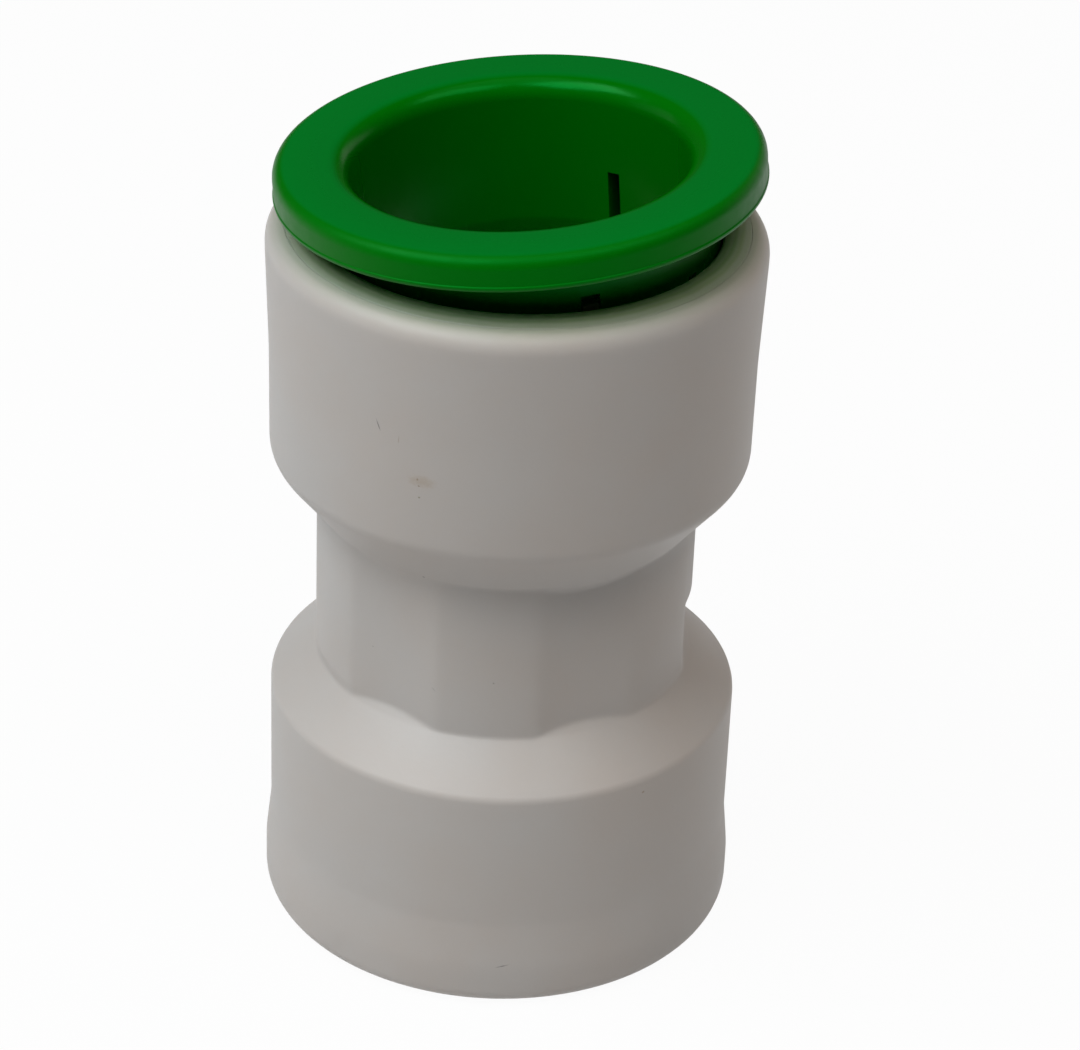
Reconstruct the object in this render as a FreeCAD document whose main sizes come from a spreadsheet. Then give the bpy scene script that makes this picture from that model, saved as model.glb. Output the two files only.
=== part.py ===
import FreeCAD, Part
import os
import re
import Sketcher

os.makedirs("parts", exist_ok=True)
doc = FreeCAD.newDocument("coupling")

# Driving dimensions, in millimetres and degrees. Heights are measured up from the foot of the coupling.
SIZES = [
    ("pipe_radius", "12.5"),
    ("socket_interference", "0.4"),
    ("socket_depth", "16.0"),
    ("socket_lead", "0.8"),
    ("base_wall", "6.5"),
    ("base_narrowing_top", "7.6"),
    ("foot_flare", "0.4"),
    ("foot_height", "3.8"),
    ("foot_rounding", "1.4"),
    ("shoulder_rise", "3.3"),
    ("shoulder_slope", "3.4"),
    ("shoulder_rounding", "0.9"),
    ("pipe_wall", "3.7"),
    ("stop_thickness", "8.5"),
    ("seat_clearance", "0.15"),
    ("seat_length", "16.5"),
    ("seat_lead", "0.7"),
    ("neck_wall", "2.35"),
    ("flat_depth", "0.55"),
    ("flat_count", "6"),
    ("flat_turn", "-5"),
    ("flat_run_out", "1.9"),
    ("flat_run_out_inset", "1.0"),
    ("gate_angle", "32"),
    ("gate_proud", "0.05"),
    ("gate_rise", "5.2"),
    ("gland_width", "3.35"),
    ("seal_squeeze", "0.05"),
    ("seal_clearance", "0.08"),
    ("spacer_thickness", "3.3"),
    ("spacer_bore_gap", "0.2"),
    ("spacer_bevel", "0.8"),
    ("spacer_gap", "0.32"),
    ("bell_wall", "1.05"),
    ("bell_start_drop", "4.9"),
    ("bell_slope", "4.6"),
    ("bell_rounding", "2.0"),
    ("bell_draft", "0.04"),
    ("bell_waist_rise", "1.0"),
    ("rim_flare", "0.33"),
    ("rim_length", "2.05"),
    ("rim_fall", "0.35"),
    ("rim_rounding", "1.25"),
    ("ring_width", "1.65"),
    ("ring_clearance", "0.05"),
    ("ring_wall", "0.45"),
    ("ring_proud", "0.3"),
    ("mouth_rounding", "0.5"),
    ("mouth_face_width", "0.9"),
    ("lip_height", "2.05"),
    ("cam_height", "1.4"),
    ("collet_clearance", "0.5"),
    ("flange_width", "5.49"),
    ("flange_thickness", "2.68"),
    ("flange_rounding", "1.0"),
    ("flange_under_rounding", "0.45"),
    ("entry_rounding", "1.4"),
    ("skirt_wall", "2.35"),
    ("skirt_play", "0.65"),
    ("skirt_length", "11.72"),
    ("finger_gap", "3.0"),
    ("barb_proud", "1.0"),
    ("barb_height", "3.8"),
    ("barb_land", "0.5"),
    ("barb_slope", "1.1"),
    ("barb_play", "0.4"),
    ("finger_end_inset", "0.15"),
    ("finger_flare", "0.65"),
    ("finger_flare_height", "7.0"),
    ("finger_count", "4"),
    ("slot_width", "1.45"),
    ("slot_head", "7.4"),
    ("slot_turn", "-32.4"),
    ("pocket_turn", "-69.9"),
    ("pocket_head", "9.05"),
    ("pocket_depth", "1.35"),
    ("pocket_through", "2.4"),
    ("tooth_play", "0.1"),
    ("tooth_gap", "0.02"),
    ("tooth_thickness", "0.8"),
    ("tooth_rise", "8.3"),
    ("tooth_foot", "1.7"),
    ("tooth_tip", "1.3"),
    ("tooth_recess", "0.5"),
    ("rock_angle", "-4.68"),
    ("rock_above_ring", "3.95"),
    ("cutter_reach", "1.0"),
]

# Sizes that follow from the driving ones. Radii grow outwards from the pipe, and heights stack up from the foot.
FITTED = {
    "socket_radius": "pipe_radius - socket_interference",
    "base_radius": "socket_radius + base_wall",
    "foot_radius": "base_radius + foot_flare",
    "waterway_radius": "pipe_radius - pipe_wall",
    "seat_radius": "pipe_radius + seat_clearance",
    "neck_radius": "seat_radius + neck_wall",
    "flat_distance": "neck_radius - flat_depth",
    "gland_radius": "seat_radius + gland_width",
    "seal_section": "gland_width - seal_squeeze",
    "collet_bore": "pipe_radius + collet_clearance",
    "flange_radius": "collet_bore + flange_width",
    "skirt_radius": "collet_bore + skirt_wall",
    "barb_radius": "skirt_radius + barb_proud",
    "mouth_radius": "skirt_radius + skirt_play",
    "ring_seat_radius": "mouth_radius + ring_width",
    "bell_radius": "ring_seat_radius + bell_wall",
    "rim_radius": "bell_radius + rim_flare",
    "shoulder_edge": "socket_depth + shoulder_rise",
    "shoulder_foot": "shoulder_edge + shoulder_slope",
    "pipe_stop": "socket_depth + stop_thickness",
    "gland_floor": "pipe_stop + seat_length",
    "bell_start": "gland_floor - bell_start_drop",
    "bell_edge": "bell_start + bell_slope",
    "gate_end": "shoulder_foot + gate_rise",
    "spacer_floor": "gland_floor + seal_section + seal_clearance",
    "ring_seat": "spacer_floor + spacer_thickness + spacer_gap",
    "bell_waist": "ring_seat + bell_waist_rise",
    "finger_end": "ring_seat + finger_gap",
    "under_flange": "finger_end + skirt_length",
    "collet_top": "under_flange + flange_thickness",
    "cam_start": "finger_end + barb_height + barb_slope + barb_play",
    "lip_floor": "cam_start + cam_height",
    "ring_top": "lip_floor + lip_height",
    "rim_height": "ring_top - ring_proud",
    "rim_edge": "rim_height - rim_length",
    "rock_height": "ring_top + rock_above_ring",
    "shank_radius": "skirt_radius - pocket_depth + tooth_gap",
}

sheet = doc.addObject("Spreadsheet::Sheet", "sizes")
for row, (name, value) in enumerate(SIZES, start=1):
    sheet.set(f"A{row}", name)
    sheet.set(f"B{row}", value)
    sheet.setAlias(f"B{row}", name)
DRIVING = [name for name, value in SIZES]
doc.recompute()


def named(expression):
    """An expression for the sheet: fitted sizes are spelled out, and driving ones get the sheet's name."""
    def spelled(word):
        if word[0] in FITTED:
            return "(" + named(FITTED[word[0]]) + ")"
        return "sizes." + word[0] if word[0] in DRIVING else word[0]
    return re.sub("[a-z_]+", spelled, expression)


def new_body(label):
    body = doc.addObject("PartDesign::Body", label)
    body.Label = label
    return body


def origin_part(body, role):
    """The body's own origin plane or axis with the given role."""
    return next(part for part in body.Origin.OriginFeatures if part.Role == role)


def hold(sketch, line, axis, size):
    """Ties one coordinate of a line's start to a size. 0 lays it on the axis, a minus turns it round."""
    if size == "0":
        sketch.addConstraint(Sketcher.Constraint("PointOnObject", line, 1, -2 if axis == "X" else -1))
        return
    start = sketch.Geometry[line].StartPoint
    now = start.x if axis == "X" else start.y
    ends = (line, 1, -1, 1) if size.startswith("-") else (-1, 1, line, 1)
    number = sketch.addConstraint(Sketcher.Constraint("Distance" + axis, *ends, abs(now)))
    sketch.setExpression(f"Constraints[{number}]", named(size.lstrip("-")))


def outline(body, name, role, corners, height=None, turn=None):
    """A closed sketch of straight lines whose every corner is tied to the sizes."""
    sketch = body.newObject("Sketcher::SketchObject", name)
    sketch.AttachmentSupport = [(origin_part(body, role), "")]
    sketch.MapMode = "FlatFace"
    count = len(corners)
    places = []
    for number, (across, up) in enumerate(corners):
        side_x = -1 if across.startswith("-") else 1
        side_y = -1 if up.startswith("-") else 1
        places.append(FreeCAD.Vector(side_x * (10 + number), side_y * (5 + number * number), 0))
    for number in range(count):
        sketch.addGeometry(Part.LineSegment(places[number], places[(number + 1) % count]), False)
    for number in range(count):
        follower = (number + 1) % count
        sketch.addConstraint(Sketcher.Constraint("Coincident", number, 2, follower, 1))
    for number, (across, up) in enumerate(corners):
        hold(sketch, number, "X", across)
        hold(sketch, number, "Y", up)
    if height is not None:
        sketch.setExpression("AttachmentOffset.Base.z", named(height))
    if turn is not None:
        around = FreeCAD.Vector(0, 0, 1) if role == "XY_Plane" else FreeCAD.Vector(0, 1, 0)
        sketch.AttachmentOffset = FreeCAD.Placement(FreeCAD.Vector(), FreeCAD.Rotation(around, 1))
        sketch.setExpression("AttachmentOffset.Rotation.Angle", named(turn))
    doc.recompute()
    return sketch


def turned(body, name, corners, cut=False):
    """A ring turned from a half section about the body's upright axis, added or cut."""
    sketch = outline(body, name + "_section", "XZ_Plane", corners)
    kind = "PartDesign::Groove" if cut else "PartDesign::Revolution"
    feature = body.newObject(kind, name)
    feature.Profile = sketch
    feature.ReferenceAxis = (sketch, ["V_Axis"])
    feature.Angle = 360
    sketch.Visibility = False
    doc.recompute()
    return feature


def cut_upward(body, name, corners, start, rise, turn, count):
    """Pockets of one outline, cut upward from a height and repeated round the axis."""
    sketch = outline(body, name + "_outline", "XY_Plane", corners, height=start, turn=turn)
    pocket = body.newObject("PartDesign::Pocket", name)
    pocket.Profile = sketch
    pocket.Type = "Length"
    pocket.setExpression("Length", named(rise))
    pocket.Reversed = True
    doc.recompute()
    pattern = body.newObject("PartDesign::PolarPattern", name + "_pattern")
    pattern.Originals = [pocket]
    pattern.Axis = (origin_part(body, "Z_Axis"), [""])
    pattern.Angle = 360
    pattern.setExpression("Occurrences", named(count))
    body.Tip = pattern
    doc.recompute()
    return pattern


def ring_edges(feature, radius, height):
    """Names of the round edges with a radius and a height, measured on the shape."""
    names = []
    for number, edge in enumerate(feature.Shape.Edges, start=1):
        curve = edge.Curve
        if curve.TypeId != "Part::GeomCircle":
            continue
        if abs(curve.Radius - radius) < 0.01 and abs(curve.Center.z - height) < 0.01:
            names.append(f"Edge{number}")
    return names


def rounded(body, name, base, edges, size):
    feature = body.newObject("PartDesign::Fillet", name)
    feature.Base = (base, edges)
    feature.setExpression("Radius", named(size))
    doc.recompute()
    return feature


def size(expression):
    return float(sheet.evalExpression(named(expression)))


# Body: the base with its shoulder and the neck are turned first, and the neck gets its flats.
# The bell's underside and the steep foot of each flat are turned after them, so they close the flats' ends.
body = new_body("body")
base = turned(body, "base_and_neck", [
    ("0", "0"),
    ("foot_radius", "0"),
    ("foot_radius", "foot_height"),
    ("base_radius", "base_narrowing_top"),
    ("base_radius", "shoulder_edge"),
    ("neck_radius", "shoulder_foot"),
    ("neck_radius", "bell_start + cutter_reach"),
    ("0", "bell_start + cutter_reach"),
])
foot_edge = rounded(body, "foot_edge", base, ring_edges(base, size("foot_radius"), 0), "foot_rounding")
shoulder = rounded(body, "shoulder_round", foot_edge,
                   ring_edges(foot_edge, size("base_radius"), size("shoulder_edge")), "shoulder_rounding")
flats = cut_upward(body, "neck_flat", [
    ("flat_distance", "-neck_radius / 2"),
    ("neck_radius + cutter_reach", "-neck_radius / 2"),
    ("neck_radius + cutter_reach", "neck_radius / 2"),
    ("flat_distance", "neck_radius / 2"),
], "shoulder_foot", "bell_start + cutter_reach - shoulder_foot", "flat_turn", "flat_count")
turned(body, "flat_foot", [
    ("0", "shoulder_foot"),
    ("neck_radius", "shoulder_foot"),
    ("neck_radius - flat_run_out_inset", "shoulder_foot + flat_run_out"),
    ("0", "shoulder_foot + flat_run_out"),
])
gate = outline(body, "gate_section", "XZ_Plane", [
    ("neck_radius - cutter_reach", "gate_end"),
    ("neck_radius + gate_proud", "gate_end"),
    ("neck_radius + gate_proud", "bell_start"),
    ("neck_radius - cutter_reach", "bell_start"),
], turn="flat_turn")
gate_land = body.newObject("PartDesign::Revolution", "gate_land")
gate_land.Profile = gate
gate_land.ReferenceAxis = (gate, ["V_Axis"])
gate_land.Midplane = True
gate_land.setExpression("Angle", named("gate_angle"))
doc.recompute()
bell = turned(body, "bell", [
    ("0", "bell_start - cutter_reach * (bell_edge - bell_start) / (bell_radius - neck_radius)"),
    ("neck_radius - cutter_reach",
     "bell_start - cutter_reach * (bell_edge - bell_start) / (bell_radius - neck_radius)"),
    ("bell_radius", "bell_edge"),
    ("bell_radius + bell_draft", "bell_waist"),
    ("rim_radius", "rim_edge"),
    ("rim_radius", "rim_height - rim_fall"),
    ("ring_seat_radius", "rim_height"),
    ("0", "rim_height"),
])
bell_edge = rounded(body, "bell_round", bell, ring_edges(bell, size("bell_radius"), size("bell_edge")),
                    "bell_rounding")
rounded(body, "rim_round", bell_edge, ring_edges(bell_edge, size("rim_radius"), size("rim_height - rim_fall")),
        "rim_rounding")
turned(body, "fusion_socket", [
    ("0", "0"),
    ("socket_radius + socket_lead", "0"),
    ("socket_radius", "socket_lead"),
    ("socket_radius", "socket_depth"),
    ("0", "socket_depth"),
], cut=True)
turned(body, "bell_bore", [
    ("0", "socket_depth"),
    ("waterway_radius", "socket_depth"),
    ("waterway_radius", "pipe_stop"),
    ("seat_radius", "pipe_stop"),
    ("seat_radius", "gland_floor - seat_lead"),
    ("seat_radius + seat_lead", "gland_floor"),
    ("gland_radius", "gland_floor"),
    ("gland_radius", "ring_seat"),
    ("ring_seat_radius", "ring_seat"),
    ("ring_seat_radius", "rim_height"),
    ("0", "rim_height"),
], cut=True)

# Retaining ring: its lip keeps the collet in, and the cone below it is the cam that closes the fingers.
ring = new_body("retaining_ring")
ring_turned = turned(ring, "ring", [
    ("ring_seat_radius - ring_clearance", "ring_seat"),
    ("ring_seat_radius - ring_clearance", "rim_height + ring_clearance"),
    ("ring_seat_radius - mouth_face_width", "ring_top"),
    ("mouth_radius", "ring_top"),
    ("mouth_radius", "lip_floor"),
    ("ring_seat_radius - ring_wall", "cam_start"),
    ("ring_seat_radius - ring_wall", "ring_seat"),
])
rounded(ring, "mouth_round", ring_turned, ring_edges(ring_turned, size("mouth_radius"), size("ring_top")),
        "mouth_rounding")


def rock(piece):
    """Tips a piece of the collet sideways in the mouth, as the loose collet of the photo lies."""
    piece.Placement = FreeCAD.Placement(FreeCAD.Vector(), FreeCAD.Rotation(FreeCAD.Vector(0, 1, 0), 1))
    piece.setExpression("Placement.Rotation.Angle", named("rock_angle"))
    piece.setExpression("Placement.Base.x", named("0 - rock_height * sin(rock_angle)"))
    piece.setExpression("Placement.Base.z", named("rock_height * (1 - cos(rock_angle))"))


# Release collet: flange, skirt and barbed fingers in one moulding. Heights run down from its flange.
collet = new_body("release_collet")
collet_turned = turned(collet, "collet", [
    ("collet_bore", "collet_top"),
    ("flange_radius", "collet_top"),
    ("flange_radius", "under_flange"),
    ("skirt_radius", "under_flange"),
    ("skirt_radius", "finger_end + barb_height + barb_slope"),
    ("barb_radius", "finger_end + barb_height"),
    ("barb_radius", "finger_end + barb_height - barb_land"),
    ("skirt_radius - finger_end_inset", "finger_end"),
    ("collet_bore + finger_flare", "finger_end"),
    ("collet_bore", "finger_end + finger_flare_height"),
])
entry = rounded(collet, "entry_round", collet_turned,
                ring_edges(collet_turned, size("collet_bore"), size("collet_top")), "entry_rounding")
top_edge = rounded(collet, "flange_round", entry,
                   ring_edges(entry, size("flange_radius"), size("collet_top")), "flange_rounding")
under_edge = rounded(collet, "flange_under_round", top_edge,
                     ring_edges(top_edge, size("flange_radius"), size("under_flange")),
                     "flange_under_rounding")
cut_upward(collet, "finger_slot", [
    ("collet_bore - cutter_reach", "-slot_width / 2"),
    ("barb_radius + cutter_reach", "-slot_width / 2"),
    ("barb_radius + cutter_reach", "slot_width / 2"),
    ("collet_bore - cutter_reach", "slot_width / 2"),
], "finger_end - cutter_reach", "slot_head + cutter_reach", "slot_turn", "finger_count")
cut_upward(collet, "tooth_pocket", [
    ("skirt_radius - pocket_depth", "-slot_width / 2"),
    ("barb_radius + cutter_reach", "-slot_width / 2"),
    ("barb_radius + cutter_reach", "slot_width / 2"),
    ("skirt_radius - pocket_depth", "slot_width / 2"),
], "finger_end - cutter_reach", "pocket_head + cutter_reach", "pocket_turn", "finger_count")
cut_upward(collet, "tooth_window", [
    ("collet_bore - cutter_reach", "-slot_width / 2"),
    ("skirt_radius - pocket_depth / 2", "-slot_width / 2"),
    ("skirt_radius - pocket_depth / 2", "slot_width / 2"),
    ("collet_bore - cutter_reach", "slot_width / 2"),
], "finger_end - cutter_reach", "pocket_through + cutter_reach", "pocket_turn", "finger_count")
rock(collet)

# Grip teeth: a bent steel strip in each finger's pocket, its foot leaning in and down to the pipe.
teeth = []
for number in range(4):
    tooth = new_body(f"grip_tooth_{number + 1}")
    strip = outline(tooth, f"strip_{number + 1}", "XZ_Plane", [
        ("shank_radius", "finger_end + tooth_rise"),
        ("shank_radius", "finger_end + tooth_foot + tooth_thickness"),
        ("collet_bore + tooth_recess", "finger_end + tooth_tip"),
        ("shank_radius", "finger_end + tooth_foot - tooth_thickness"),
        ("shank_radius + tooth_thickness", "finger_end + tooth_foot - tooth_thickness"),
        ("shank_radius + tooth_thickness", "finger_end + tooth_rise"),
    ], turn=f"pocket_turn + {number} * 360 / finger_count")
    pad = tooth.newObject("PartDesign::Pad", f"tooth_{number + 1}")
    pad.Profile = strip
    pad.setExpression("Length", named("slot_width - 2 * tooth_play"))
    pad.SideType = "Symmetric"
    rock(tooth)
    doc.recompute()
    teeth.append(tooth)

# Seal and spacer: the seal lies on the gland's floor, and the spacer lies on the seal.
seal = doc.addObject("Part::Torus", "o_ring")
seal.Label = "o_ring"
seal.setExpression("Radius1", named("gland_radius - seal_clearance - seal_section / 2"))
seal.setExpression("Radius2", named("seal_section / 2"))
seal.setExpression("Placement.Base.z", named("gland_floor + seal_section / 2 + seal_clearance / 2"))
spacer = new_body("spacer_ring")
turned(spacer, "spacer", [
    ("seat_radius + spacer_bore_gap", "spacer_floor"),
    ("gland_radius - seal_clearance", "spacer_floor"),
    ("gland_radius - seal_clearance", "spacer_floor + spacer_thickness"),
    ("seat_radius + spacer_bore_gap + spacer_bevel", "spacer_floor + spacer_thickness"),
    ("seat_radius + spacer_bore_gap", "spacer_floor + spacer_thickness - spacer_bevel"),
])
doc.recompute()

pieces = [body, ring, collet] + teeth + [seal, spacer]
for item in doc.Objects:
    if "Invalid" in item.State or "Error" in item.State:
        raise RuntimeError(f"{item.Name} failed: {item.State}")
for piece in pieces:
    if piece.Shape.isNull() or not piece.Shape.isValid() or len(piece.Shape.Solids) != 1:
        raise RuntimeError(f"{piece.Label} has no single valid solid")
for piece in pieces:
    piece.Shape.exportStep(f"parts/{piece.Label}.step")
    box = piece.Shape.BoundBox
    print(piece.Label, round(piece.Shape.Volume, 1), [round(v, 2) for v in (box.XMin, box.YMin, box.ZMin)],
          [round(v, 2) for v in (box.XMax, box.YMax, box.ZMax)])
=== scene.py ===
# %% [markdown]
# A push-fit coupling, finished in Blender.
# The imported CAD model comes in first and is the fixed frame: it says where every piece is and how large.
# Each visible moulding is then modelled again with clean, softly rounded surfaces
# and takes its CAD node's place.

# %% Load the frame
import math
import bpy
import bmesh
from mathutils import Matrix, Vector


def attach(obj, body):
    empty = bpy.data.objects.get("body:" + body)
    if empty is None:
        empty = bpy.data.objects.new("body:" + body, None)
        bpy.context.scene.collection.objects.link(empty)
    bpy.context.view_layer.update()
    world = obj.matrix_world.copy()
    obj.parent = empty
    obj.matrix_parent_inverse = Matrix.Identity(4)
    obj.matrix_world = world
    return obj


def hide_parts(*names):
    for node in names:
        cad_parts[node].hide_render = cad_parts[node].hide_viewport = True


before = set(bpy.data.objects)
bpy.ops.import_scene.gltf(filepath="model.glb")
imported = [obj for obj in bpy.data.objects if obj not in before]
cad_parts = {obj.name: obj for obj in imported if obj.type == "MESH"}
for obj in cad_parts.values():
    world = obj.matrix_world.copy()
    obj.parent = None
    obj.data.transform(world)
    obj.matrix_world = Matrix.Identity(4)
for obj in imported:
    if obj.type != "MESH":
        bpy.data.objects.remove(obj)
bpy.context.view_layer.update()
MM = 0.001
print("nodes:", sorted(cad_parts))

# %% [markdown]
# The mouldings are round, so nearly every piece starts as one circle that is extruded and scaled
# from point to point of its section, as a potter pulls up a wall.
# A section is a list of corners, each with a radius, a height and a rounding, all in millimetres.
# Rounded corners are worked out as arcs, because a moulding has no sharp outer edges.

# %% Sections with rounded corners
SIDES = 240
ARC_STEP = math.radians(12)
NEAR = 0.001


def softened(corners):
    """Points of a closed section, with an arc at each corner that has a rounding."""
    points = []
    for index, (radius, height, rounding) in enumerate(corners):
        here = Vector((radius, height))
        if rounding == 0:
            points.append(here)
            continue
        back = Vector(corners[index - 1][:2]) - here
        ahead = Vector(corners[(index + 1) % len(corners)][:2]) - here
        back.normalize()
        ahead.normalize()
        half = back.angle(ahead) / 2
        centre = here + (back + ahead).normalized() * rounding / math.sin(half)
        first = here + back * rounding / math.tan(half) - centre
        last = here + ahead * rounding / math.tan(half) - centre
        turn = first.angle_signed(last)
        steps = max(2, math.ceil(abs(turn) / ARC_STEP))
        for step in range(steps + 1):
            share = Matrix.Rotation(-turn * step / steps, 2)
            points.append(centre + share @ first)
    return points


# %% [markdown]
# Operators act on everything that is selected, so each step first clears the selection
# and then picks what it needs by name or by place.

# %% Selecting and turning
def pick(piece):
    """Makes one piece the only selected and the active one."""
    bpy.ops.object.select_all(action="DESELECT")
    piece.select_set(True)
    bpy.context.view_layer.objects.active = piece


def select_where(test):
    """In edit mode, selects the vertices whose radius and height in millimetres pass a test."""
    bpy.ops.mesh.select_mode(type="VERT")
    mesh = bmesh.from_edit_mesh(bpy.context.edit_object.data)
    for vertex in mesh.verts:
        radius = math.hypot(vertex.co.x, vertex.co.y) / MM
        vertex.select_set(test(radius, vertex.co.z / MM))
    mesh.select_flush(True)
    bmesh.update_edit_mesh(bpy.context.edit_object.data)


def turned(name, section):
    """A closed ring drawn from one circle, extruded and scaled along its section."""
    bpy.ops.object.select_all(action="DESELECT")
    start = section[0]
    bpy.ops.mesh.primitive_circle_add(vertices=SIDES, radius=start.x * MM, location=(0, 0, start.y * MM))
    piece = bpy.context.object
    piece.name = name
    bpy.ops.object.transform_apply()
    bpy.ops.object.mode_set(mode="EDIT")
    bpy.ops.mesh.select_mode(type="EDGE")
    bpy.ops.mesh.select_all(action="SELECT")
    for before, after in zip(section, section[1:]):
        rise = (after.y - before.y) * MM
        bpy.ops.mesh.extrude_region_move(TRANSFORM_OT_translate={"value": (0, 0, rise)})
        grow = after.x / before.x
        bpy.ops.transform.resize(value=(grow, grow, 1), center_override=(0, 0, after.y * MM))
    end = section[-1]

    def at_an_end(radius, height):
        place = (radius, height)
        return min(math.dist(place, start), math.dist(place, end)) < NEAR

    select_where(at_an_end)
    bpy.ops.mesh.bridge_edge_loops()
    bpy.ops.mesh.select_all(action="SELECT")
    bpy.ops.mesh.normals_make_consistent(inside=False)
    bpy.ops.object.mode_set(mode="OBJECT")
    return piece


def box_tool(low, high, turn=0.0):
    """A box between two corners in millimetres, turned about the upright axis: a shape to cut with."""
    bpy.ops.object.select_all(action="DESELECT")
    middle = [(a + b) / 2 * MM for a, b in zip(low, high)]
    sizes = [(b - a) * MM for a, b in zip(low, high)]
    bpy.ops.mesh.primitive_cube_add(size=1, location=middle)
    tool = bpy.context.object
    tool.scale = sizes
    bpy.ops.object.transform_apply()
    tool.rotation_euler.z = turn
    bpy.ops.object.transform_apply()
    return tool


def combine(piece, tool, how):
    """Cuts, joins or intersects a piece with a tool, which is used up."""
    pick(piece)
    step = piece.modifiers.new("combine", "BOOLEAN")
    step.object = tool
    step.operation = how
    step.solver = "EXACT"
    bpy.ops.object.modifier_apply(modifier=step.name)
    bpy.data.objects.remove(tool)


def joined(tools):
    """Several tools as one."""
    bpy.ops.object.select_all(action="DESELECT")
    for tool in tools:
        tool.select_set(True)
    bpy.context.view_layer.objects.active = tools[0]
    bpy.ops.object.join()
    return tools[0]


def smooth(piece, limit=32):
    """Smooth shading, with edges sharper than the limit left crisp."""
    pick(piece)
    bpy.ops.object.shade_smooth_by_angle(angle=math.radians(limit))


def tell(piece):
    """Prints how many faces a piece has and how large it is."""
    size = [round(v / MM, 2) for v in piece.dimensions]
    print(piece.name, "faces:", len(piece.data.polygons), "size in mm:", size)


# %% [markdown]
# The body is one white moulding: a fusion socket below, a neck with six flats, and the push-fit bell.
# It could be cut from cylinders, but the real wall has a slight foot, a drawn-in base, a sloping shoulder
# and a bell that widens a little to its rim, so the whole half section is drawn and turned.

# %% Body section
FOOT_RADIUS, FOOT_HEIGHT = 19.0, 3.8
BASE_RADIUS, BASE_NARROWING_TOP = 18.6, 7.6
SHOULDER_EDGE, SHOULDER_FOOT = 19.3, 22.7
NECK_RADIUS, FLAT_DISTANCE = 15.0, 14.45
BELL_START, BELL_EDGE, BELL_RADIUS = 36.1, 40.7, 18.7
BELL_WAIST, RIM_EDGE, RIM_RADIUS, RIM_HEIGHT, RIM_FALL = 49.0, 57.4, 19.03, 59.45, 0.35
SOCKET_RADIUS, SOCKET_DEPTH, WATERWAY_RADIUS, PIPE_STOP = 12.1, 16.0, 8.8, 24.5
SEAT_RADIUS, GLAND_FLOOR, GLAND_RADIUS = 12.65, 41.0, 16.0
RING_SEAT, RING_SEAT_RADIUS = 48.0, 17.65
SOCKET_CHAMFER, SEAT_CHAMFER, WAIST_WIDENING = 0.8, 0.7, 0.04

body = turned("body_moulding", softened([
    (SOCKET_RADIUS + SOCKET_CHAMFER, 0, 0),
    (FOOT_RADIUS, 0, 1.5),
    (FOOT_RADIUS, FOOT_HEIGHT, 6),
    (BASE_RADIUS, BASE_NARROWING_TOP, 6),
    (BASE_RADIUS, SHOULDER_EDGE, 0.9),
    (NECK_RADIUS, SHOULDER_FOOT, 0.5),
    (NECK_RADIUS, BELL_START, 0.9),
    (BELL_RADIUS, BELL_EDGE, 2.0),
    (BELL_RADIUS + WAIST_WIDENING, BELL_WAIST, 40),
    (RIM_RADIUS, RIM_EDGE, 12),
    (RIM_RADIUS, RIM_HEIGHT - RIM_FALL, 1.5),
    (RING_SEAT_RADIUS, RIM_HEIGHT, 0),
    (RING_SEAT_RADIUS, RING_SEAT, 0),
    (GLAND_RADIUS, RING_SEAT, 0),
    (GLAND_RADIUS, GLAND_FLOOR, 0),
    (SEAT_RADIUS + SEAT_CHAMFER, GLAND_FLOOR, 0),
    (SEAT_RADIUS, GLAND_FLOOR - SEAT_CHAMFER, 0),
    (SEAT_RADIUS, PIPE_STOP, 0),
    (WATERWAY_RADIUS, PIPE_STOP, 0.4),
    (WATERWAY_RADIUS, SOCKET_DEPTH, 0.4),
    (SOCKET_RADIUS, SOCKET_DEPTH, 0),
    (SOCKET_RADIUS, SOCKET_CHAMFER, 0),
]))
tell(body)

# %% [markdown]
# The six flats on the neck are where a hand or a wrench holds the coupling. They could be cut with blocks,
# but moulded flats have soft edges and a foot that rises in an arch, so they are pressed in
# as with a thumb: the neck gets fine rows of faces, and each point moves in to the flat's plane,
# the cone at its foot or the bell's slope above it, whichever lies farthest out.
# Where two of them meet, they blend.
# Two of the flats on the right sit a little farther round than an even spacing would put them.
# At the last one the gate of the mould left the neck full, so it stops low, at a small step.
# The mould's halves were a little out of line, so the neck stands a hair to the left of the bell's axis.

# %% Neck flats
FLATS = [math.radians(angle) for angle in (-1.5, -63.5, -125, 175, 115, 55)]
RUN_OUT, GATE_END, GATE_STEP = 1.12, 28.8, 0.3
EDGE_BLEND, FOOT_BLEND, HEAD_BLEND = 0.12, 0.14, 0.35
AXIS_SHIFT, SHIFT_FADE = 0.16, 1.5
BELL_SLOPE = (BELL_EDGE - BELL_START) / (BELL_RADIUS - NECK_RADIUS)
SHOULDER_SLOPE = (SHOULDER_FOOT - SHOULDER_EDGE) / (BASE_RADIUS - NECK_RADIUS)
PRESS_START, PRESS_END = SHOULDER_FOOT - 0.6, BELL_START + 0.5
NECK_ROWS, SKIN, MARGIN = 116, 0.1, 1
FLAT_CREASE = 50
BLEND_RISE, LEAST_RISE = 0.5, 0.01


def blend_larger(first, second, width):
    """The larger of two numbers, with a soft change from one to the other."""
    share = min(max(0.5 + 0.5 * (first - second) / width, 0), 1)
    return second + (first - second) * share + width * share * (1 - share)


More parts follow.
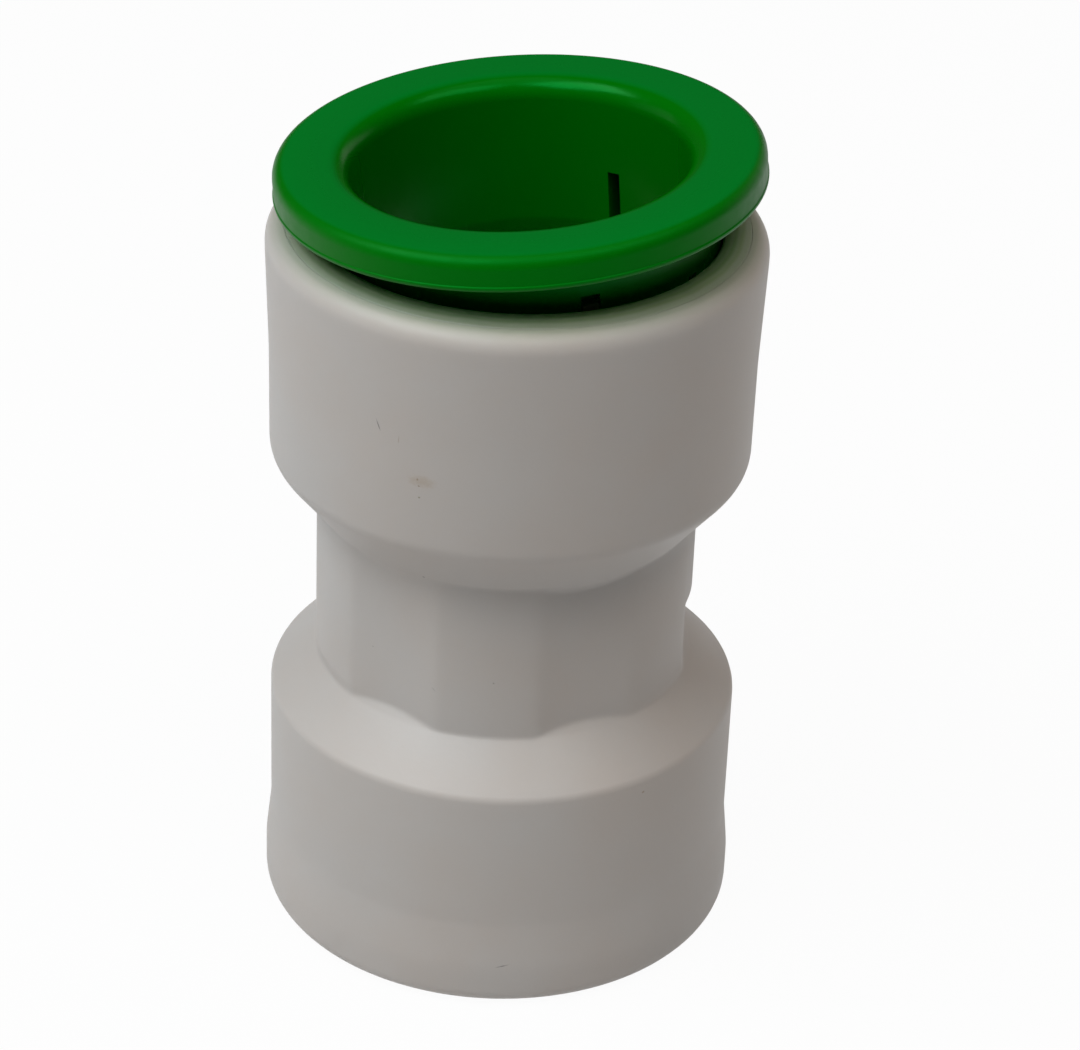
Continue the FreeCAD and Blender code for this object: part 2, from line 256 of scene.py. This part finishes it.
def pressed(angle, height, radius):
    """The radius of the neck's surface at an angle and a height, once the flats are pressed in."""
    facing = [math.cos(angle - flat) for flat in FLATS]
    plane = FLAT_DISTANCE / max(facing)
    slope = RUN_OUT if height > SHOULDER_FOOT else SHOULDER_SLOPE
    foot = NECK_RADIUS - (height - SHOULDER_FOOT) / slope
    head = NECK_RADIUS + (height - BELL_START) / BELL_SLOPE
    inward = blend_larger(blend_larger(plane, foot, FOOT_BLEND), head, HEAD_BLEND)
    if max(facing) == facing[0]:
        inward = max(inward, NECK_RADIUS + min(height - GATE_END, 0) / GATE_STEP)
    rise = min(max((height - SHOULDER_FOOT) / RUN_OUT, LEAST_RISE), BLEND_RISE)
    return -blend_larger(-inward, -radius, EDGE_BLEND * rise / BLEND_RISE)


bpy.ops.object.mode_set(mode="EDIT")
bpy.ops.mesh.select_mode(type="EDGE")
mesh = bmesh.from_edit_mesh(body.data)
for edge in mesh.edges:
    heights = sorted(vertex.co.z / MM for vertex in edge.verts)
    outside = min(math.hypot(*vertex.co.xy) / MM for vertex in edge.verts) > NECK_RADIUS - SKIN
    whole_neck = heights[0] < SHOULDER_FOOT + MARGIN and heights[1] > BELL_START - MARGIN
    edge.select_set(outside and whole_neck)
bmesh.update_edit_mesh(body.data)
bpy.ops.mesh.subdivide(number_cuts=NECK_ROWS, quadcorner="STRAIGHT_CUT")
mesh = bmesh.from_edit_mesh(body.data)
moved = 0
for vertex in mesh.verts:
    radius = math.hypot(*vertex.co.xy) / MM
    height = vertex.co.z / MM
    if radius < NECK_RADIUS - SKIN or not PRESS_START < height < PRESS_END:
        continue
    grow = pressed(math.atan2(vertex.co.y, vertex.co.x), height, radius) / radius
    vertex.co.xy *= grow
    from_ends = min(height - PRESS_START, PRESS_END - height)
    vertex.co.x -= AXIS_SHIFT * MM * min(from_ends / SHIFT_FADE, 1)
    moved += grow < 1 - NEAR
bmesh.update_edit_mesh(body.data)
bpy.ops.object.mode_set(mode="OBJECT")
smooth(body, FLAT_CREASE)
tell(body)
print("points pressed in:", moved)

# %% [markdown]
# The retaining ring is welded into the bell's mouth. Only its face and a fine seam show,
# but its lip and the cone below it are what hold the collet, so the whole section is turned.

# %% Retaining ring
MOUTH_RADIUS, RING_TOP, LIP_HEIGHT, CAM_HEIGHT, RING_WALL = 15.5, 59.75, 2.05, 1.4, 0.45
LIP_CHAMFER, SEAM, FACE_SLOPE = 0.5, 0.02, 0.9
RING_RADIUS = RING_SEAT_RADIUS - SEAM
ring = turned("mouth_ring", softened([
    (RING_RADIUS, RING_SEAT, 0),
    (RING_RADIUS, RIM_HEIGHT + SEAM, 0.12),
    (RING_SEAT_RADIUS - FACE_SLOPE, RING_TOP, 1.6),
    (MOUTH_RADIUS, RING_TOP, 0.5),
    (MOUTH_RADIUS, RING_TOP - LIP_HEIGHT + LIP_CHAMFER, 0),
    (MOUTH_RADIUS + LIP_CHAMFER, RING_TOP - LIP_HEIGHT, 0),
    (RING_SEAT_RADIUS - RING_WALL, RING_TOP - LIP_HEIGHT - CAM_HEIGHT, 0),
    (RING_SEAT_RADIUS - RING_WALL, RING_SEAT, 0),
]))
smooth(ring)
tell(ring)

# %% [markdown]
# The release collet is one green moulding: a flange to press on, a skirt, and four springy fingers
# with a barb outside. The mould's parting line left a fine bead round the flange's lower edge.
# It is turned upright, cut, and then tipped as it lies in the photograph.

# %% Collet section
COLLET_TOP, FLANGE_RADIUS, FLANGE_THICKNESS = 65.4, 18.49, 2.68
COLLET_BORE, SKIRT_RADIUS, SKIRT_LENGTH = 12.75, 14.85, 11.72
UNDER_FLANGE = COLLET_TOP - FLANGE_THICKNESS
FINGER_END = UNDER_FLANGE - SKIRT_LENGTH
BARB_RADIUS, BARB_HEIGHT, BARB_LAND, BARB_SLOPE = 16.35, 3.8, 0.5, 1.1
FLARE, FLARE_HEIGHT = 0.5, 2.6
BEAD_TOP, BEAD_REACH, FINGER_TAPER = 0.5, 0.08, 0.15
collet = turned("collet_moulding", softened([
    (COLLET_BORE, COLLET_TOP, 1.7),
    (FLANGE_RADIUS, COLLET_TOP, 1.0),
    (FLANGE_RADIUS, UNDER_FLANGE + BEAD_TOP, 0.05),
    (FLANGE_RADIUS + BEAD_REACH, UNDER_FLANGE + BEAD_TOP - BEAD_REACH, 0.05),
    (FLANGE_RADIUS + BEAD_REACH, UNDER_FLANGE, 0.35),
    (SKIRT_RADIUS, UNDER_FLANGE, 0.25),
    (SKIRT_RADIUS, FINGER_END + BARB_HEIGHT + BARB_SLOPE, 0),
    (BARB_RADIUS, FINGER_END + BARB_HEIGHT, 0.1),
    (BARB_RADIUS, FINGER_END + BARB_HEIGHT - BARB_LAND, 0.1),
    (SKIRT_RADIUS - FINGER_TAPER, FINGER_END, 0.2),
    (COLLET_BORE + FLARE, FINGER_END, 0.2),
    (COLLET_BORE, FINGER_END + FLARE_HEIGHT, 2),
]))
tell(collet)

# %% [markdown]
# Four slots free the fingers, and each finger has a pocket that a steel tooth drops into.
# The slots and pockets are boxes, so they are cut with boxes, all in one tool for each kind.
# Each pocket opens through to the bore only low down, where the tooth reaches the pipe.

# %% Slots and tooth pockets
SLOT_WIDTH, SLOT_HEADS, SLOT_TURN = 1.05, (7.4, 7.1, 5.9, 7.4), math.radians(-32.4)
POCKET_WIDTH, POCKET_HEADS, POCKET_TURN = 1.45, [9.05] * 4, math.radians(-69.9)
POCKET_DEPTH, POCKET_THROUGH = 0.85, [1.6] * 4
CLEAR = 1


def cut_all_round(piece, inner, outer, width, heads, first_turn):
    """Cuts one box-shaped opening from below into every finger, each to its own height."""
    tools = []
    for number, head in enumerate(heads):
        low = (inner, -width / 2, FINGER_END - CLEAR)
        high = (outer, width / 2, FINGER_END + head)
        tool = box_tool(low, high, first_turn + number * math.tau / len(heads))
        tools.append(tool)
    combine(piece, joined(tools), "DIFFERENCE")


INSIDE, OUTSIDE = COLLET_BORE - 2 * CLEAR, BARB_RADIUS + CLEAR
POCKET_FLOOR, POCKET_MIDDLE = SKIRT_RADIUS - POCKET_DEPTH, SKIRT_RADIUS - POCKET_DEPTH / 2
cut_all_round(collet, INSIDE, OUTSIDE, SLOT_WIDTH, SLOT_HEADS, SLOT_TURN)
cut_all_round(collet, POCKET_FLOOR, OUTSIDE, POCKET_WIDTH, POCKET_HEADS, POCKET_TURN)
cut_all_round(collet, INSIDE, POCKET_MIDDLE, POCKET_WIDTH, POCKET_THROUGH, POCKET_TURN)
ROCK_ANGLE, ROCK_HEIGHT = math.radians(-4.68), 63.7
rock = (Matrix.Translation((0, 0, ROCK_HEIGHT * MM)) @ Matrix.Rotation(ROCK_ANGLE, 4, "Y")
        @ Matrix.Translation((0, 0, -ROCK_HEIGHT * MM)))
collet.matrix_world = rock
pick(collet)
bpy.ops.object.transform_apply()
smooth(collet)
tell(collet)

# %% [markdown]
# Colours are written as on a screen and turned linear by one function. One helper adds a shader node
# with its settings and links, and every pattern's scale comes from a size in millimetres.
# A Mix node has sockets for every kind of value: the four numbers below are its colour ones.

# %% Material helpers
FACTOR, FIRST, SECOND, RESULT = 0, 6, 7, 2


def colour(code):
    """A linear colour from a six-digit screen colour."""
    parts = [int(code[place:place + 2], 16) / 255 for place in (0, 2, 4)]
    linear = [part / 12.92 if part <= 0.04045 else ((part + 0.055) / 1.055) ** 2.4 for part in parts]
    return (*linear, 1)


def spots(size):
    """The scale of a noise whose spots are about so many millimetres across."""
    return 1 / (size * MM)


def add(material, kind, inputs=None, **settings):
    """Adds a node, sets its properties and fills its inputs with values or with other nodes' outputs."""
    node = material.node_tree.nodes.new(kind)
    for name, value in settings.items():
        setattr(node, name, value)
    for name, value in (inputs or {}).items():
        if isinstance(value, bpy.types.NodeSocket):
            material.node_tree.links.new(value, node.inputs[name])
        else:
            node.inputs[name].default_value = value
    return node


def new_material(name):
    """A material with an empty node tree."""
    material = bpy.data.materials.new(name)
    material.use_nodes = True
    material.node_tree.nodes.clear()
    return material


def finish_with(material, shader):
    """Links a shader's first output to the surface."""
    add(material, "ShaderNodeOutputMaterial", {"Surface": shader.outputs[0]})
    return material


def from_axis(material, place):
    """The distance of a place from the coupling's axis."""
    flat = add(material, "ShaderNodeVectorMath", {0: place, 1: (1, 1, 0)}, operation="MULTIPLY")
    far = add(material, "ShaderNodeVectorMath", {0: flat.outputs[0]}, operation="LENGTH")
    return far.outputs["Value"]


# %% [markdown]
# Handling left a few faint marks on the white: a hair, a stain and some dots. A noise would scatter them
# anywhere, so each is an oval of its own, set at its place on the wall and turned to face outwards.

# %% Marks left by handling
MARKS = [
    ("hair on the bell", (-9.6, -16.07, 50.44), (0.05, 0.6, 0.45), -22, "5A5652", 0.75),
    ("tan stain on the bell", (-6.34, -17.49, 46.65), (1.0, 0.8, 0.45), 0, "9A7C55", 0.3),
    ("first dot in the stain", (-6.63, -17.38, 46.77), (0.08, 0.6, 0.1), 0, "6B5330", 0.5),
    ("second dot in the stain", (-6.53, -17.42, 46.24), (0.09, 0.6, 0.07), 20, "6B5330", 0.6),
    ("olive dot below the stain", (-6.42, -17.24, 45.28), (0.1, 0.6, 0.08), 0, "5E5B1E", 0.75),
    ("faint line above the stain", (-8.09, -16.86, 49.69), (0.05, 0.6, 0.3), 5, "8A7250", 0.4),
    ("dot at the neck's head", (-6.11, -13.7, 36.23), (0.09, 0.6, 0.07), 30, "3E3A36", 0.8),
    ("dot on the neck", (-0.62, -14.99, 27.72), (0.06, 0.6, 0.06), 0, "3E3A36", 0.7),
    ("dot left on the neck", (-9.95, -10.68, 27.98), (0.06, 0.6, 0.04), 0, "3E3A36", 0.5),
    ("curl on the neck", (-5.19, -14.07, 26.4), (0.04, 0.6, 0.2), -50, "6A5C50", 0.45),
    ("dash near the foot", (0.8, -18.88, 3.95), (0.5, 0.6, 0.05), -14, "55504C", 0.65),
    ("tan speck on the base", (11.23, -14.83, 18.1), (0.14, 0.6, 0.1), -15, "8A7458", 0.7),
    ("speck under the bell", (12.91, -9.78, 38.3), (0.08, 0.6, 0.08), 0, "3E3A36", 0.7),
    ("second speck under the bell", (11.21, -10.7, 37.54), (0.09, 0.6, 0.08), 0, "3E3A36", 0.7),
    ("third speck under the bell", (12.43, -8.4, 36.16), (0.08, 0.6, 0.06), 0, "3E3A36", 0.6),
]
MARK_CORE, MARK_EDGE = 0.9, 1.8


def marked(material, place, tone):
    """Adds each small mark over a tone: an upright oval on its wall, leaned and softly edged."""
    ragged = add(material, "ShaderNodeTexNoise", {"Vector": place, "Scale": spots(0.25), "Detail": 2})
    for label, middle, reach, lean, code, strength in MARKS:
        facing = math.atan2(middle[0], -middle[1])
        local = add(material, "ShaderNodeMapping", {
            "Vector": place,
            "Location": [v * MM for v in middle],
            "Rotation": (0, math.radians(lean), facing),
            "Scale": [v * MM for v in reach],
        }, vector_type="TEXTURE")
        far = add(material, "ShaderNodeVectorMath", {0: local.outputs[0]}, operation="LENGTH")
        far = add(material, "ShaderNodeMath", {
            0: far.outputs["Value"],
            1: ragged.outputs[0],
        }, operation="ADD")
        spot = add(material, "ShaderNodeMapRange", {
            "Value": far.outputs[0],
            "From Min": MARK_CORE,
            "From Max": MARK_EDGE,
            "To Min": strength,
            "To Max": 0.0,
        })
        over = add(material, "ShaderNodeMix", {
            FACTOR: spot.outputs[0],
            FIRST: tone,
            SECOND: colour(code),
        }, data_type="RGBA")
        over.label = label
        tone = over.outputs[RESULT]
    return tone


# %% [markdown]
# Round the mouth, painted shade from the flange and the green light it throws down make the white face
# a greenish grey, strongest at the edge, with faint rings half a millimetre apart.

# %% Painted shade round the mouth
SHADE_INNER, SHADE_OUTER, SHADE_LOW, SHADE_HIGH = 16.2, 19.3, 56.5, 59.0
SHADE_RING_SPACING, WAVES_PER_UNIT = 0.507, 20 / math.tau


def painted_mouth_shade(material, place, tone):
    """Painted shade with green bounced light on the face round the mouth, fading outwards, with faint
    rings.
    """
    near = add(material, "ShaderNodeMapRange", {
        "Value": from_axis(material, place),
        "From Min": SHADE_INNER * MM,
        "From Max": SHADE_OUTER * MM,
        "To Min": 1.0,
        "To Max": 0.0,
    }, interpolation_type="SMOOTHSTEP")
    height = add(material, "ShaderNodeSeparateXYZ", {0: place}).outputs["Z"]
    high = add(material, "ShaderNodeMapRange", {
        "Value": height,
        "From Min": SHADE_LOW * MM,
        "From Max": SHADE_HIGH * MM,
    })
    rings = add(material, "ShaderNodeTexWave", {
        "Vector": place,
        "Scale": 1 / (SHADE_RING_SPACING * MM) / WAVES_PER_UNIT,
        "Distortion": 3,
        "Detail": 2,
        "Detail Scale": 0.4,
    }, wave_type="RINGS", rings_direction="Z")
    lines = add(material, "ShaderNodeMapRange", {
        "Value": rings.outputs["Fac"],
        "To Min": 0.86,
        "To Max": 1.0,
    })
    share = near
    for part in (high, lines):
        share = add(material, "ShaderNodeMath", {
            0: share.outputs[0],
            1: part.outputs[0],
        }, operation="MULTIPLY")
    # Painted shade under the flange, tinted by the green light the flange throws down.
    shaded = add(material, "ShaderNodeMix", {
        FACTOR: share.outputs[0],
        FIRST: tone,
        SECOND: colour("728C5E"),
    }, data_type="RGBA")
    return shaded.outputs[RESULT]


# %% [markdown]
# The white parts are PP-R, moulded against a fine-textured steel tool. The plastic is translucent,
# so light goes a millimetre or so into it: shadows and edges look soft. The ring is thin,
# and light goes deeper there. The sheen is broad and weak, and long soft flow marks vary the tone slightly.

# %% White moulded polypropylene
def moulded_polypropylene(name, depth):
    """White PP-R. The depth says how far light travels in it, in millimetres."""
    material = new_material(name)
    place = add(material, "ShaderNodeTexCoord").outputs["Object"]
    flow = add(material, "ShaderNodeTexNoise", {"Vector": place, "Scale": spots(11.1), "Detail": 2})
    grain = add(material, "ShaderNodeTexNoise", {"Vector": place, "Scale": spots(0.4), "Detail": 3})
    tone = add(material, "ShaderNodeMix", {
        FACTOR: flow.outputs[0],
        FIRST: colour("B9AEA6"),
        SECOND: colour("BAB6B3"),
    }, data_type="RGBA")
    bump = add(material, "ShaderNodeBump", {
        "Height": grain.outputs[0],
        "Distance": 0.02 * MM,
        "Strength": 0.35,
    })
    # The base colour carries the marks and the painted shade round the mouth.
    shader = add(material, "ShaderNodeBsdfPrincipled", {
        "Base Color": painted_mouth_shade(material, place, marked(material, place, tone.outputs[RESULT])),
        "Roughness": 0.5,
        "IOR": 1.49,
        "Subsurface Weight": 0.4 + 0.2 * depth,
        "Subsurface Radius": (1.0, 0.9, 0.85),
        "Subsurface Scale": depth * MM,
        "Normal": bump.outputs[0],
    })
    return finish_with(material, shader)


# %% [markdown]
# The collet is a dyed moulding from a polished tool, so it is glossier than the body: lamps make
# clear streaks on its roundings. The dye is so strong that reflections on it look green as well,
# which the specular tint gives. Slow changes of roughness break the streaks up a little.
# The flange's flat top gets a painted sheen: faces that look straight up are a slightly paler, bluer green,
# as if they reflected the light above. The rim outside is duller than the bore.

# %% Green moulded collet plastic
RIM_FROM, RIM_TO = 15.0, 17.5


def moulded_green():
    """Dyed acetal, glossy inside and duller on the rim."""
    material = new_material("moulded_acetal_green")
    place = add(material, "ShaderNodeTexCoord").outputs["Object"]
    flow = add(material, "ShaderNodeTexNoise", {"Vector": place, "Scale": spots(8.33), "Detail": 2})
    fine = add(material, "ShaderNodeTexNoise", {"Vector": place, "Scale": spots(1.11), "Detail": 3})
    tone = add(material, "ShaderNodeMix", {
        FACTOR: flow.outputs[0],
        FIRST: colour("005E02"),
        SECOND: colour("006203"),
    }, data_type="RGBA")
    normal = add(material, "ShaderNodeNewGeometry").outputs["Normal"]
    upward = add(material, "ShaderNodeSeparateXYZ", {0: normal}).outputs["Z"]
    # Painted sheen: faces that look up turn paler and bluer, as if lit from above.
    painted_top_sheen = add(material, "ShaderNodeMapRange", {"Value": upward, "From Min": 0.9, "From Max": 0.99})
    tone = add(material, "ShaderNodeMix", {
        FACTOR: painted_top_sheen.outputs[0],
        FIRST: tone.outputs[RESULT],
        SECOND: colour("00691D"),
    }, data_type="RGBA")
    sheen = add(material, "ShaderNodeMapRange", {
        "Value": fine.outputs[0],
        "From Min": 0.3,
        "From Max": 0.7,
        "To Min": 0.19,
        "To Max": 0.26,
    })
    duller = add(material, "ShaderNodeMapRange", {
        "Value": from_axis(material, place),
        "From Min": RIM_FROM * MM,
        "From Max": RIM_TO * MM,
        "To Min": 0.0,
        "To Max": 0.2,
    })
    sheen = add(material, "ShaderNodeMath", {
        0: sheen.outputs[0],
        1: duller.outputs[0],
    }, operation="ADD")
    bump = add(material, "ShaderNodeBump", {
        "Height": fine.outputs[0],
        "Distance": 0.01 * MM,
        "Strength": 0.15,
    })
    shader = add(material, "ShaderNodeBsdfPrincipled", {
        "Base Color": tone.outputs[RESULT],
        "Roughness": sheen.outputs[0],
        "IOR": 1.48,
        "Specular IOR Level": 0.24,
        "Specular Tint": (0.02, 1.0, 0.2, 1),
        "Normal": bump.outputs[0],
    })
    return finish_with(material, shader)


# %% [markdown]
# The teeth are cut from rolled stainless strip: bright, with fine lines along the rolling direction.

# %% Rolled steel
def rolled_steel():
    """Bright strip with lines drawn twenty times longer than they are wide."""
    material = new_material("rolled_stainless_strip")
    place = add(material, "ShaderNodeTexCoord").outputs["Object"]
    along = add(material, "ShaderNodeMapping", {"Vector": place, "Scale": (1, 1, 0.05)})
    lines = add(material, "ShaderNodeTexNoise", {
        "Vector": along.outputs[0],
        "Scale": spots(0.0833),
        "Detail": 2,
    })
    tone = add(material, "ShaderNodeMix", {
        FACTOR: lines.outputs[0],
        FIRST: colour("A9A6A1"),
        SECOND: colour("C2BFBA"),
    }, data_type="RGBA")
    sheen = add(material, "ShaderNodeMapRange", {
        "Value": lines.outputs[0],
        "From Min": 0.3,
        "From Max": 0.7,
        "To Min": 0.25,
        "To Max": 0.45,
    })
    bump = add(material, "ShaderNodeBump", {
        "Height": lines.outputs[0],
        "Distance": 0.005 * MM,
        "Strength": 0.4,
    })
    shader = add(material, "ShaderNodeBsdfPrincipled", {
        "Base Color": tone.outputs[RESULT],
        "Metallic": 1.0,
        "Roughness": sheen.outputs[0],
        "Normal": bump.outputs[0],
    })
    return finish_with(material, shader)


# %% [markdown]
# The seal is black EPDM rubber, dull and fine-grained, with a hint of grey bloom and a film of grease.

# %% Moulded rubber
def moulded_rubber():
    """Black rubber with a slight bloom, and glossier where the grease lies."""
    material = new_material("moulded_rubber_black")
    place = add(material, "ShaderNodeTexCoord").outputs["Object"]
    bloom = add(material, "ShaderNodeTexNoise", {"Vector": place, "Scale": spots(4), "Detail": 3})
    grain = add(material, "ShaderNodeTexNoise", {"Vector": place, "Scale": spots(0.25), "Detail": 2})
    tone = add(material, "ShaderNodeMix", {
        FACTOR: bloom.outputs[0],
        FIRST: colour("161617"),
        SECOND: colour("242425"),
    }, data_type="RGBA")
    sheen = add(material, "ShaderNodeMapRange", {
        "Value": bloom.outputs[0],
        "From Min": 0.3,
        "From Max": 0.7,
        "To Min": 0.45,
        "To Max": 0.65,
    })
    bump = add(material, "ShaderNodeBump", {
        "Height": grain.outputs[0],
        "Distance": 0.01 * MM,
        "Strength": 0.4,
    })
    shader = add(material, "ShaderNodeBsdfPrincipled", {
        "Base Color": tone.outputs[RESULT],
        "Roughness": sheen.outputs[0],
        "Normal": bump.outputs[0],
    })
    return finish_with(material, shader)


# %% [markdown]
# The spacer is an undyed hard plastic ring, a little creamier and glossier than the body.

# %% Natural moulded plastic
def moulded_spacer():
    """Undyed acetal, slightly translucent."""
    material = new_material("moulded_acetal_natural")
    place = add(material, "ShaderNodeTexCoord").outputs["Object"]
    flow = add(material, "ShaderNodeTexNoise", {"Vector": place, "Scale": spots(6.67), "Detail": 2})
    fine = add(material, "ShaderNodeTexNoise", {"Vector": place, "Scale": spots(0.667), "Detail": 2})
    tone = add(material, "ShaderNodeMix", {
        FACTOR: flow.outputs[0],
        FIRST: colour("D8D4C8"),
        SECOND: colour("DFDBD0"),
    }, data_type="RGBA")
    bump = add(material, "ShaderNodeBump", {
        "Height": fine.outputs[0],
        "Distance": 0.01 * MM,
        "Strength": 0.3,
    })
    shader = add(material, "ShaderNodeBsdfPrincipled", {
        "Base Color": tone.outputs[RESULT],
        "Roughness": 0.38,
        "Subsurface Weight": 0.3,
        "Subsurface Radius": (1.0, 0.9, 0.8),
        "Subsurface Scale": 1 * MM,
        "Normal": bump.outputs[0],
    })
    return finish_with(material, shader)


# %% [markdown]
# Each new piece rides on the body that carried its CAD node, and takes that node's place.
# The pieces inside stay as the CAD made them and only get their finish.

# %% Give each piece its finish, its body and the node it stands for
white = moulded_polypropylene("moulded_polypropylene_white", 0.8)
thin_white = moulded_polypropylene("moulded_polypropylene_thin", 2.5)
green = moulded_green()
steel = rolled_steel()
rubber = moulded_rubber()
natural = moulded_spacer()
for piece, node, material, slot, carrier in (
    (body, "body", white, "ppr_white", "housing"),
    (ring, "retaining_ring", thin_white, "ppr_white", "housing"),
    (collet, "release_collet", green, "collet_green", "collet"),
):
    piece.data.materials.clear()
    piece.data.materials.append(material)
    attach(piece, carrier)
    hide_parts(node)
    print(piece.name, "stands for", node, "on", carrier, "in", material.name)
for name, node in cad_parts.items():
    if name in ("body", "retaining_ring", "release_collet"):
        continue
    finish = {"o_ring": rubber, "spacer_ring": natural}.get(name, steel)
    node.data.materials.clear()
    node.data.materials.append(finish)
    print(name, "in", finish.name)

# %% [markdown]
# The coupling stands on plain white paper. To the camera and in reflections the floor glows almost white,
# and only a little of the shadow is left on it. To all other light it is pale, matte paper,
# which throws a soft light up under the bell.

# %% Floor
bpy.ops.object.select_all(action="DESELECT")
bpy.ops.mesh.primitive_plane_add(size=3)
floor = bpy.context.object
floor.name = "floor"
paper = new_material("paper_floor")
rays = add(paper, "ShaderNodeLightPath")
seen = add(paper, "ShaderNodeMath", {
    0: rays.outputs["Is Camera Ray"],
    1: rays.outputs["Is Transmission Ray"],
}, operation="MAXIMUM")
seen = add(paper, "ShaderNodeMath", {
    0: seen.outputs[0],
    1: rays.outputs["Is Glossy Ray"],
}, operation="MAXIMUM")
share = add(paper, "ShaderNodeMath", {0: seen.outputs[0], 1: 0.96}, operation="MULTIPLY")
matte = add(paper, "ShaderNodeBsdfDiffuse", {"Color": colour("CCCCCC")})
glow = add(paper, "ShaderNodeEmission", {"Color": (1, 1, 1, 1), "Strength": 1.0})
blend = add(paper, "ShaderNodeMixShader", {0: share.outputs[0], 1: matte.outputs[0], 2: glow.outputs[0]})
finish_with(paper, blend)
floor.data.materials.append(paper)

# %% [markdown]
# The photograph's light is soft and comes from above: a large cool lamp high on the left is the key,
# a weaker warm one stands on the right, one hangs overhead, and two faint low ones open the shadows.
# Each is a softbox, a rectangular area lamp, and one function sets them on a sphere round the coupling.

# %% Lights
MIDDLE = Vector((0, 0, 0.035))
LAMP_DISTANCE = 0.7


def softbox(name, azimuth, elevation, size, power, tint):
    """A wide area lamp on a sphere round the coupling. Azimuth 0 is the camera's side, minus is left."""
    lamp = bpy.data.lights.new(name, "AREA")
    lamp.shape = "RECTANGLE"
    lamp.size, lamp.size_y = size
    lamp.energy = power
    lamp.color = tint
    holder = bpy.data.objects.new(name, lamp)
    bpy.context.collection.objects.link(holder)
    across = math.radians(azimuth)
    up = math.radians(elevation)
    direction = Vector((math.sin(across) * math.cos(up), -math.cos(across) * math.cos(up), math.sin(up)))
    holder.location = MIDDLE + direction * LAMP_DISTANCE
    holder.rotation_euler = (-direction).to_track_quat("-Z", "Y").to_euler()
    return holder


COOL, WARM = (0.9, 0.965, 1.0), (1.0, 0.945, 0.885)
softbox("key_left", -62, 54, (0.6, 0.35), 4.75, COOL)
softbox("top_right", 50, 62, (0.5, 0.25), 1.45, WARM)
softbox("overhead", 0, 82, (0.5, 0.5), 0.9, WARM)
softbox("fill_left", -100, 5, (0.5, 0.5), 0.35, COOL)
softbox("fill_back_right", 135, 5, (0.5, 0.5), 0.42, WARM)
world = bpy.data.worlds.new("studio")
bpy.context.scene.world = world
world.use_nodes = True
world.node_tree.nodes["Background"].inputs["Color"].default_value = (1, 1, 1, 1)
world.node_tree.nodes["Background"].inputs["Strength"].default_value = 0.03

# %% [markdown]
# The camera looks down by about 30 degrees and is rolled a little. Its place and its focal length
# were fitted to the photograph's outline and ellipses, and its three axes are worked out from them.

# %% Camera
IMAGE_WIDTH = 1080
FOCAL_PIXELS = 3694.0
SENSOR = 36.0
EYE = Vector((0, -251.18, 180.39)) * MM
AIM = Vector((2.5645, 0, 33.03)) * MM
ROLL = -0.0408
forward = (AIM - EYE).normalized()
level_right = forward.cross(Vector((0, 0, 1))).normalized()
level_down = forward.cross(level_right)
right = math.cos(ROLL) * level_right + math.sin(ROLL) * level_down
down = -math.sin(ROLL) * level_right + math.cos(ROLL) * level_down
lens = bpy.data.cameras.new("camera")
lens.sensor_width = SENSOR
lens.lens = FOCAL_PIXELS * SENSOR / IMAGE_WIDTH
lens.clip_start = 0.01
camera = bpy.data.objects.new("camera", lens)
bpy.context.collection.objects.link(camera)
print("focal length in mm:", round(lens.lens, 1))
camera.matrix_world = Matrix((
    (right.x, -down.x, -forward.x, EYE.x),
    (right.y, -down.y, -forward.y, EYE.y),
    (right.z, -down.z, -forward.z, EYE.z),
    (0, 0, 0, 1),
))
bpy.context.scene.camera = camera
bpy.context.scene.view_settings.view_transform = "Standard"
